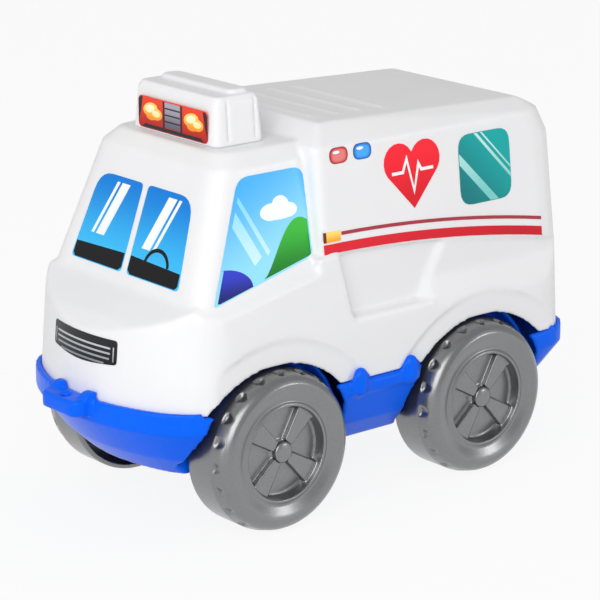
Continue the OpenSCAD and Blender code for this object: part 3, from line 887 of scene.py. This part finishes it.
@dataclass
class BoxFilms:
    """Films on one side of the rear box: lamps, heart, window and stripes."""

    side: Side
    box_y: float = -0.041
    tail_y: float = 0.193
    crease_drop: float = 0.0255
    band_y: Pair = (-0.04, 0.16)
    pin_over: float = 0.0088
    marker_y: float = -0.0236
    marker_over: Pair = (0.009, 0.0165)
    dash_y: float = -0.0365
    lamp_y: float = -0.021
    lamp_pitch: float = 0.021
    lamp_z: float = 0.249
    lens: Pair = (0.008, 0.0055)
    lens_power: float = 3.0
    lens_fade: Pair = (0.1, 0.8)
    lens_rim: Pair = (0.75, 0.95)
    shine: Pair = (0.003, 0.0011)
    shine_off: float = 0.0022
    heart_y: float = 0.044
    heart_z: float = 0.226
    beat: tuple = ((-0.019, 0.003), (-0.009, 0.003), (-0.005, 0.012), (0.0005, -0.011), (0.0055, 0.0075),
                   (0.008, 0.003), (0.019, 0.003))
    beat_width: float = 0.0022
    pane_y: float = 0.112
    pane_z: float = 0.222
    pane_bands: tuple = (((-0.0242, 0.012), (-0.0242, 0.004), (0.0035, -0.0246), (0.0115, -0.0246)),
                         ((-0.0065, 0.0246), (-0.0095, 0.0246), (0.0242, -0.011), (0.0242, -0.0078)),
                         ((-0.0015, 0.0246), (-0.0033, 0.0246), (0.0242, -0.0042), (0.0242, -0.0024)))

    def stripe_ink(self) -> bpy.types.Material:
        """Red band, darker pin stripe and yellow marker, told apart by their height over the crease.

        Returns:
            The material.
        """
        g = Graph("stripe_ink_" + self.side.word)
        _, y, z = g.axes()
        t = g.math("DIVIDE", g.math("SUBTRACT", y, self.box_y), self.tail_y - self.box_y)
        drop = g.math("MULTIPLY", g.math("MULTIPLY", t, t), self.crease_drop)
        over = g.math("SUBTRACT", z, g.math("SUBTRACT", BOX_WALL.foot, drop))
        band = g.mix(g.ramp(y, *self.band_y), linear(225, 30, 48), linear(205, 14, 36))
        pin = g.math("GREATER_THAN", over, self.pin_over)
        color = g.mix(pin, band, linear(168, 52, 66))
        gold = g.mix(g.ramp(over, *self.marker_over), linear(250, 165, 30), linear(255, 225, 110))
        gold = g.mix(g.math("LESS_THAN", y, self.dash_y), gold, linear(120, 40, 30))
        marker = g.math("MULTIPLY", pin, g.math("LESS_THAN", y, self.marker_y))
        return GLOSS.close(g, g.mix(marker, color, gold))

    def lamp_ink(self) -> bpy.types.Material:
        """Red lens in front and blue lens behind, each darker at its edge and pale in the middle.

        Returns:
            The material.
        """
        g = Graph("lamp_ink_" + self.side.word)
        _, y, z = g.axes()
        behind = g.math("GREATER_THAN", y, self.lamp_y + self.lamp_pitch / 2)
        mid = g.math("ADD", g.math("MULTIPLY", behind, self.lamp_pitch), self.lamp_y)
        powers = []
        for off, half in zip((g.math("SUBTRACT", y, mid), g.math("SUBTRACT", z, self.lamp_z)), self.lens):
            size = g.math("ABSOLUTE", g.math("DIVIDE", off, half))
            powers.append(g.math("POWER", size, self.lens_power))
        far = g.math("ADD", *powers)
        fade, rim = g.ramp(far, *self.lens_fade), g.ramp(far, *self.lens_rim)
        red = g.mix(fade, linear(232, 128, 126), linear(205, 40, 52))
        red = g.mix(rim, red, linear(96, 30, 40))
        blue = g.mix(fade, linear(70, 170, 245), linear(10, 110, 215))
        blue = g.mix(rim, blue, linear(10, 50, 110))
        return GLOSS.close(g, g.mix(behind, red, blue))

    def build(self, nodes: Nodes, white: bpy.types.Material) -> None:
        """Dresses the films and adds the prints that lie on them.

        Args:
            nodes: The CAD nodes.
            white: White ink.
        """
        word = self.side.word
        face = BOX_WALL.face(self.side)
        heart = PrintedInk("heart_ink_" + word, linear(222, 10, 34), linear(250, 26, 48), start=0.205, end=0.245)
        pane = PrintedInk("pane_ink_" + word, linear(0, 118, 122), linear(0, 168, 166),
                          axis=(0, 0.7, 0.7), start=0.2, end=0.26)
        pale = PrintedInk("pane_glint_" + word, linear(120, 205, 200), linear(190, 235, 230),
                          start=0.2, end=0.245)
        dress(nodes["stripe_label_" + word], self.stripe_ink())
        dress(nodes["side_lamp_labels_" + word], self.lamp_ink())
        dress(nodes["emblem_label_" + word], heart.material())
        dress(nodes["rear_window_label_" + word], pane.material())
        beat = stroke(moved(self.beat, self.heart_y, BOX_WALL.up(self.heart_z)), self.beat_width)
        face.prints("emblem_beat_" + word, [beat], FILM, white, "print_red")
        bands = [moved(band, self.pane_y, BOX_WALL.up(self.pane_z)) for band in self.pane_bands]
        face.prints("rear_window_glint_" + word, bands, FILM, pale.material(), "print_teal")
        shine_v = BOX_WALL.up(self.lamp_z + self.shine_off)
        shines = [oval(self.lamp_y + i * self.lamp_pitch - self.shine_off, shine_v, *self.shine) for i in (0, 1)]
        face.prints("side_lamp_shine_" + word, shines, FILM, white, "print_red")


@dataclass
class CabWindow:
    """Film on one side of the cab: sky, a cloud, a hill and a dark sill."""

    side: Side
    hill_foot: Point = (-0.0862, 0.1745)
    hill_size: Pair = (0.0418, 0.036)
    hill_turn: float = 1.9
    hill_power: float = 1.4
    hill_steps: int = 12
    hill_end: tuple = ((-0.0444, 0.1852), (-0.0456, 0.1838))
    sill_foot: tuple = ((-0.1268, 0.1652), (-0.1245, 0.1651))
    sill_mid: Point = (-0.1215, 0.1715)
    sill_radii: Pair = (0.0255, 0.0145)
    sill_end: Point = (-0.1186, 0.1856)
    cloud: tuple = ((-0.0735, 0.217, 0.0098, 0.0058), (-0.0655, 0.2205, 0.0072, 0.0064),
                    (-0.0595, 0.2165, 0.0078, 0.005), (-0.067, 0.2145, 0.014, 0.0034))
    glints: tuple = (((-0.1075, 0.212), (-0.1035, 0.2215), (-0.086, 0.1895), (-0.0925, 0.1845)),
                     ((-0.1012, 0.2275), (-0.0998, 0.231), (-0.0785, 0.192), (-0.0808, 0.1892)))

    def hill(self) -> Outline:
        """Outline of the hill, which rises towards the rear.

        Returns:
            Its corners, with their heights.
        """
        y, z = self.hill_foot
        run, rise = self.hill_size
        slope = []
        for k in range(1, self.hill_steps + 1):
            share = math.sin(k / self.hill_steps * self.hill_turn) ** self.hill_power
            slope.append((y + run * k / self.hill_steps, z + rise * share))
        return [self.hill_foot, *slope, *self.hill_end]

    def sill(self) -> Outline:
        """Outline of the dark sill in the lower front corner."""
        return [*self.sill_foot, *bow(self.sill_mid, self.sill_radii, first=0, sweep=90, steps=9), self.sill_end]

    def build(self, nodes: Nodes, white: bpy.types.Material) -> None:
        """Dresses the film and adds the prints that lie on it.

        Args:
            nodes: The CAD nodes.
            white: White ink.
        """
        word = self.side.word
        face = CAB_WALL.face(self.side)
        sky = PrintedInk("window_sky_" + word, linear(150, 226, 252), linear(0, 168, 245),
                         axis=(0, -0.35, 0.94), start=0.195, end=0.265)
        grass = PrintedInk("window_grass_" + word, linear(0, 122, 20), linear(40, 185, 40), start=0.175, end=0.208)
        navy = PrintedInk("window_navy_" + word, linear(16, 22, 110), linear(40, 56, 205), start=0.166, end=0.184)
        pale = PrintedInk("window_glint_" + word, linear(205, 243, 255), linear(120, 215, 252),
                          start=0.185, end=0.235)
        dress(nodes["cab_window_label_" + word], sky.material())
        hill, sill = CAB_WALL.lift(self.hill()), CAB_WALL.lift(self.sill())
        face.prints("cab_window_hill_" + word, [hill], FILM, grass.material(), "print_sky")
        face.prints("cab_window_sill_" + word, [sill], FILM, navy.material(), "print_dark")
        puffs = [oval(y, CAB_WALL.up(z), a, b) for y, z, a, b in self.cloud]
        face.prints("cab_window_cloud_" + word, puffs, FILM, white, "print_sky")
        bands = [CAB_WALL.lift(band) for band in self.glints]
        face.prints("cab_window_glint_" + word, bands, FILM, pale.material(), "print_sky")


@dataclass
class Windscreen:
    """The two panes of the windscreen, with glints, a dashboard and a steering wheel."""

    foot_y: float = -0.143
    foot_z: float = 0.163
    lean: float = 30 / 85
    glint_ends: dict = field(default_factory=lambda: {Side.LEFT: (0.0125, 0.0275), Side.RIGHT: (0.031, 0.016)})
    glint_v: Pair = (0.028, 0.066)
    glints: tuple = ((0.0, 0.009), (0.0115, 0.0145))
    desk: tuple = ((0.0072, 0.0086), (0.0568, 0.0086), (0.0592, 0.0112), (0.0586, 0.0195), (0.0036, 0.0212),
                   (0.0036, 0.0112))
    wheel_mid: Point = (0.032, 0.0185)
    wheel_radii: Pair = (0.0125, 0.0115)
    wheel_width: float = 0.0026

    def build(self, nodes: Nodes, white: bpy.types.Material, black: bpy.types.Material) -> None:
        """Dresses both panes and adds the prints that lie on them.

        Args:
            nodes: The CAD nodes.
            white: White ink.
            black: Black ink.
        """
        lean = math.atan(self.lean)
        up = Vector((0, math.sin(lean), math.cos(lean)))
        out = Vector((0, -math.cos(lean), math.sin(lean)))
        low, high = self.glint_v
        for side in Side:
            word = side.word
            face = Plane(Vector((0, self.foot_y, self.foot_z)), Vector((side.value, 0, 0)), up, out)
            sky = PrintedInk("screen_sky_" + word, linear(60, 190, 245), linear(0, 122, 214),
                             start=0.172, end=0.232)
            dress(nodes["windscreen_label_" + word], sky.material())
            foot, head = self.glint_ends[side]
            bands = [[(foot + a, low), (foot + b, low), (head + b, high), (head + a, high)]
                     for a, b in self.glints]
            face.prints("windscreen_glint_" + word, bands, FILM, white, "print_sky")
            shapes = [list(self.desk)]
            if side is Side.LEFT:
                rim = bow(self.wheel_mid, self.wheel_radii, first=8, sweep=164, steps=16)
                shapes.append(stroke(rim, self.wheel_width))
            face.prints("windscreen_desk_" + word, shapes, FILM + LAYER, black, "print_dark")


@dataclass
class Grille:
    """The grille's dark film and the pale bars that lie on it."""

    foot_y: float = -0.180
    foot_z: float = 0.091
    bars: tuple = (0.0245, 0.0292, 0.0298, 0.0298)
    bar_z: float = 0.1196
    bar_pitch: float = 0.0036
    bar_height: float = 0.0013
    tick_x: float = 0.0326
    tick_half: float = 0.0005
    tick_z: Pair = (0.1222, 0.1322)
    rise: float = 0.00036

    def build(self, nodes: Nodes) -> None:
        """Dresses the film and lays the bars and the two upright ticks over it.

        Args:
            nodes: The CAD nodes.
        """
        dark = PrintedInk("grille_ink", linear(10, 11, 14), linear(28, 31, 36), start=0.117, end=0.137)
        silver = PrintedInk("grille_silver", linear(120, 126, 132), linear(196, 202, 206), start=0.116, end=0.136)
        dress(nodes["grille_label"], dark.material())
        face = NoseFace(Vector((0, self.foot_y, self.foot_z)), Vector((1, 0, 0)), Vector((0, 0, 1)),
                        Vector((0, -1, 0)))
        shapes = []
        for i, half in enumerate(self.bars):
            low = self.bar_z + i * self.bar_pitch - self.foot_z
            shapes.append(face.strip(half, low, low + self.bar_height, self.rise))
        low, high = (z - self.foot_z for z in self.tick_z)
        for s in MIRROR:
            u = s * self.tick_x
            shapes.append(face.shape(rect(u - self.tick_half, low, u + self.tick_half, high), self.rise))
        face.unite("grille_bars", shapes, silver.material(), "print_dark")


@dataclass
class BarLamps:
    """The film on the light bar: two amber lamps in a dark frame, with a slatted centre."""

    face_y: float = -0.097
    roof_z: float = 0.258
    frame_end: tuple = ((0.0382, 0.0055), (0.0382, 0.0205), (0.0362, 0.0228), (0.0335, 0.0228), (0.0355, 0.0125))
    frame_foot: tuple = ((-0.0345, 0.0022), (0.0345, 0.0022), (0.031, 0.0046), (-0.031, 0.0046))
    post_u: Pair = (0.0088, 0.0108)
    post_v: Pair = (0.0024, 0.0229)
    centre_half: float = 0.0084
    centre_v: Pair = (0.0052, 0.0226)
    slats: Triple = (0.009, 0.0135, 0.018)
    slat_height: float = 0.001
    lamp_u: float = 0.0228
    puffs: tuple = ((-0.002, 0.0152, 0.0082, 0.0046, 0.2), (0.004, 0.0126, 0.0072, 0.0042, 0.0),
                    (-0.0012, 0.0108, 0.0056, 0.003, 0.0))
    cores: tuple = ((-0.0024, 0.0156, 0.0052, 0.0027, 0.2), (0.0044, 0.0128, 0.0044, 0.0023, 0.0))

    def frame(self) -> list[Outline]:
        """Outlines of the dark frame: its ends, its foot and the posts beside the centre.

        Returns:
            The outlines.
        """
        ends = [[(s * u, v) for u, v in self.frame_end] for s in MIRROR]
        (inner, outer), (foot, head) = self.post_u, self.post_v
        posts = [rect(s * inner, foot, s * outer, head) for s in MIRROR]
        return [*ends, list(self.frame_foot), *posts]

    def glows(self, ovals: tuple) -> list[Outline]:
        """The same ovals in both lamps."""
        return [oval(s * self.lamp_u + u, *rest) for s in MIRROR for u, *rest in ovals]

    def build(self, nodes: Nodes, black: bpy.types.Material) -> None:
        """Dresses the film and adds the prints that lie on it.

        Args:
            nodes: The CAD nodes.
            black: Black ink.
        """
        face = Plane(Vector((0, self.face_y, self.roof_z)), Vector((1, 0, 0)), Vector((0, 0, 1)),
                     Vector((0, -1, 0)))
        red = PrintedInk("lamp_red", linear(176, 22, 12), linear(236, 62, 34), start=0.26, end=0.279)
        lilac = PrintedInk("lamp_lilac", linear(92, 88, 104), linear(168, 164, 180), start=0.262, end=0.28)
        amber = PrintedInk("lamp_amber", linear(250, 150, 30), linear(255, 214, 96), start=0.266, end=0.277)
        glow = PrintedInk("lamp_glow", linear(255, 232, 150), linear(255, 248, 214), start=0.268, end=0.276)
        dress(nodes["light_bar_label"], red.material())
        face.prints("light_bar_frame", self.frame(), FILM, black, "print_dark")
        half, (foot, head) = self.centre_half, self.centre_v
        face.prints("light_bar_centre", [rect(-half, foot, half, head)], FILM, lilac.material(), "print_dark")
        face.prints("light_bar_amber", self.glows(self.puffs), FILM, amber.material(), "print_amber")
        face.prints("light_bar_glow", self.glows(self.cores), FILM + LAYER, glow.material(), "print_amber")
        slats = [rect(-half, v, half, v + self.slat_height) for v in self.slats]
        face.prints("light_bar_slats", slats, FILM + 2 * LAYER, black, "print_dark")


@dataclass
class Studio:
    """Pale floor, soft lamps, white surroundings and the camera."""

    aim: Vector = field(default_factory=lambda: Vector((0, 0, 0.13)))
    lamps: tuple = (("key", (1.5, -1.75, 1.35), 1.8, 36), ("side", (2.0, 1.5, 0.6), 0.5, 6),
                    ("front", (0.2, -2.4, 0.5), 0.7, 4.5))
    fill: float = 0.57
    floor_size: float = 30
    floor_color: Color = (0.8, 0.8, 0.8)
    floor_glow: float = 0.9
    lens: float = 156
    sensor: float = 36
    eye: Triple = (1.37404, -1.12504, 0.64351)
    turn: tuple = ((0.6382, -0.2155, 0.7390), (0.7698, 0.1787, -0.6127), (0.0, 0.9599, 0.2800))

    def floor(self) -> None:
        """Lays a floor that looks white and keeps the shadow."""
        bpy.ops.object.select_all(action="DESELECT")
        bpy.ops.mesh.primitive_plane_add(size=self.floor_size)
        floor = bpy.context.object
        floor.name = "studio_floor"
        g = Graph("pale_floor")
        ray = g.node("ShaderNodeLightPath")
        seen = g.math("MAXIMUM", ray.outputs["Is Camera Ray"], ray.outputs["Is Glossy Ray"])
        share = g.math("MULTIPLY", seen, self.floor_glow)
        matt = g.node("ShaderNodeBsdfDiffuse", {"Color": self.floor_color}).outputs[0]
        glow = g.node("ShaderNodeEmission", {"Color": (1.0, 1.0, 1.0), "Strength": 1.0}).outputs[0]
        mixed = g.node("ShaderNodeMixShader", {0: share, 1: matt, 2: glow}).outputs[0]
        g.tree.links.new(mixed, g.out.inputs[0])
        dress(floor, g.material)

    def room(self) -> None:
        """Surrounds the scene with even light that looks white to the camera."""
        world = bpy.data.worlds.new("white_room")
        bpy.context.scene.world = world
        world.use_nodes = True
        tree = world.node_tree
        tree.nodes.clear()
        path = tree.nodes.new("ShaderNodeLightPath")
        back = tree.nodes.new("ShaderNodeBackground")
        back.inputs["Color"].default_value = (1, 1, 1, 1)
        level = tree.nodes.new("ShaderNodeMapRange")
        level.inputs["To Min"].default_value = self.fill
        level.inputs["To Max"].default_value = 1.0
        tree.links.new(path.outputs["Is Camera Ray"], level.inputs["Value"])
        tree.links.new(level.outputs[0], back.inputs["Strength"])
        out = tree.nodes.new("ShaderNodeOutputWorld")
        tree.links.new(back.outputs[0], out.inputs[0])

    def light(self) -> None:
        """Hangs the soft lamps."""
        for name, spot, size, power in self.lamps:
            lamp = bpy.data.lights.new(name, "AREA")
            lamp.size = size
            lamp.energy = power
            held = bpy.data.objects.new(name, lamp)
            held.location = spot
            held.rotation_euler = (self.aim - Vector(spot)).to_track_quat("-Z", "Y").to_euler()
            bpy.context.scene.collection.objects.link(held)

    def camera(self) -> None:
        """Sets the camera at the photograph's viewing angle."""
        lens = bpy.data.cameras.new("camera")
        lens.lens = self.lens
        lens.sensor_width = self.sensor
        camera = bpy.data.objects.new("camera", lens)
        camera.matrix_world = Matrix.Translation(self.eye) @ Matrix(self.turn).to_4x4()
        bpy.context.scene.collection.objects.link(camera)
        bpy.context.scene.camera = camera

    def build(self) -> None:
        """Sets the whole studio."""
        bpy.context.scene.view_settings.view_transform = "Standard"
        self.floor()
        self.room()
        self.light()
        self.camera()


def main() -> None:
    """Builds the scene piece by piece."""
    logging.basicConfig(level=logging.INFO, format="%(message)s")
    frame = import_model()
    nodes = frame["nodes"]
    white, grey, steel = WHITE_PLASTIC.material(), GREY_PLASTIC.material(), STEEL.material()
    white_ink, black_ink = WHITE_INK.material(), BLACK_INK.material()
    BodyShell().build(white)
    LightBar().build(white)
    Underframe().build(BLUE_PLASTIC.material())
    for end, side in itertools.product(End, Side):
        Wheel(end, side).build(grey)
    for name in ("front_axle", "rear_axle", "axle_push_nuts", "body_screws"):
        dress(nodes[name], steel)
    Windscreen().build(nodes, white_ink, black_ink)
    Grille().build(nodes)
    BarLamps().build(nodes, black_ink)
    for side in Side:
        CabWindow(side).build(nodes, white_ink)
        BoxFilms(side).build(nodes, white_ink)
    Studio().build()


if __name__ == "__main__":
    main()
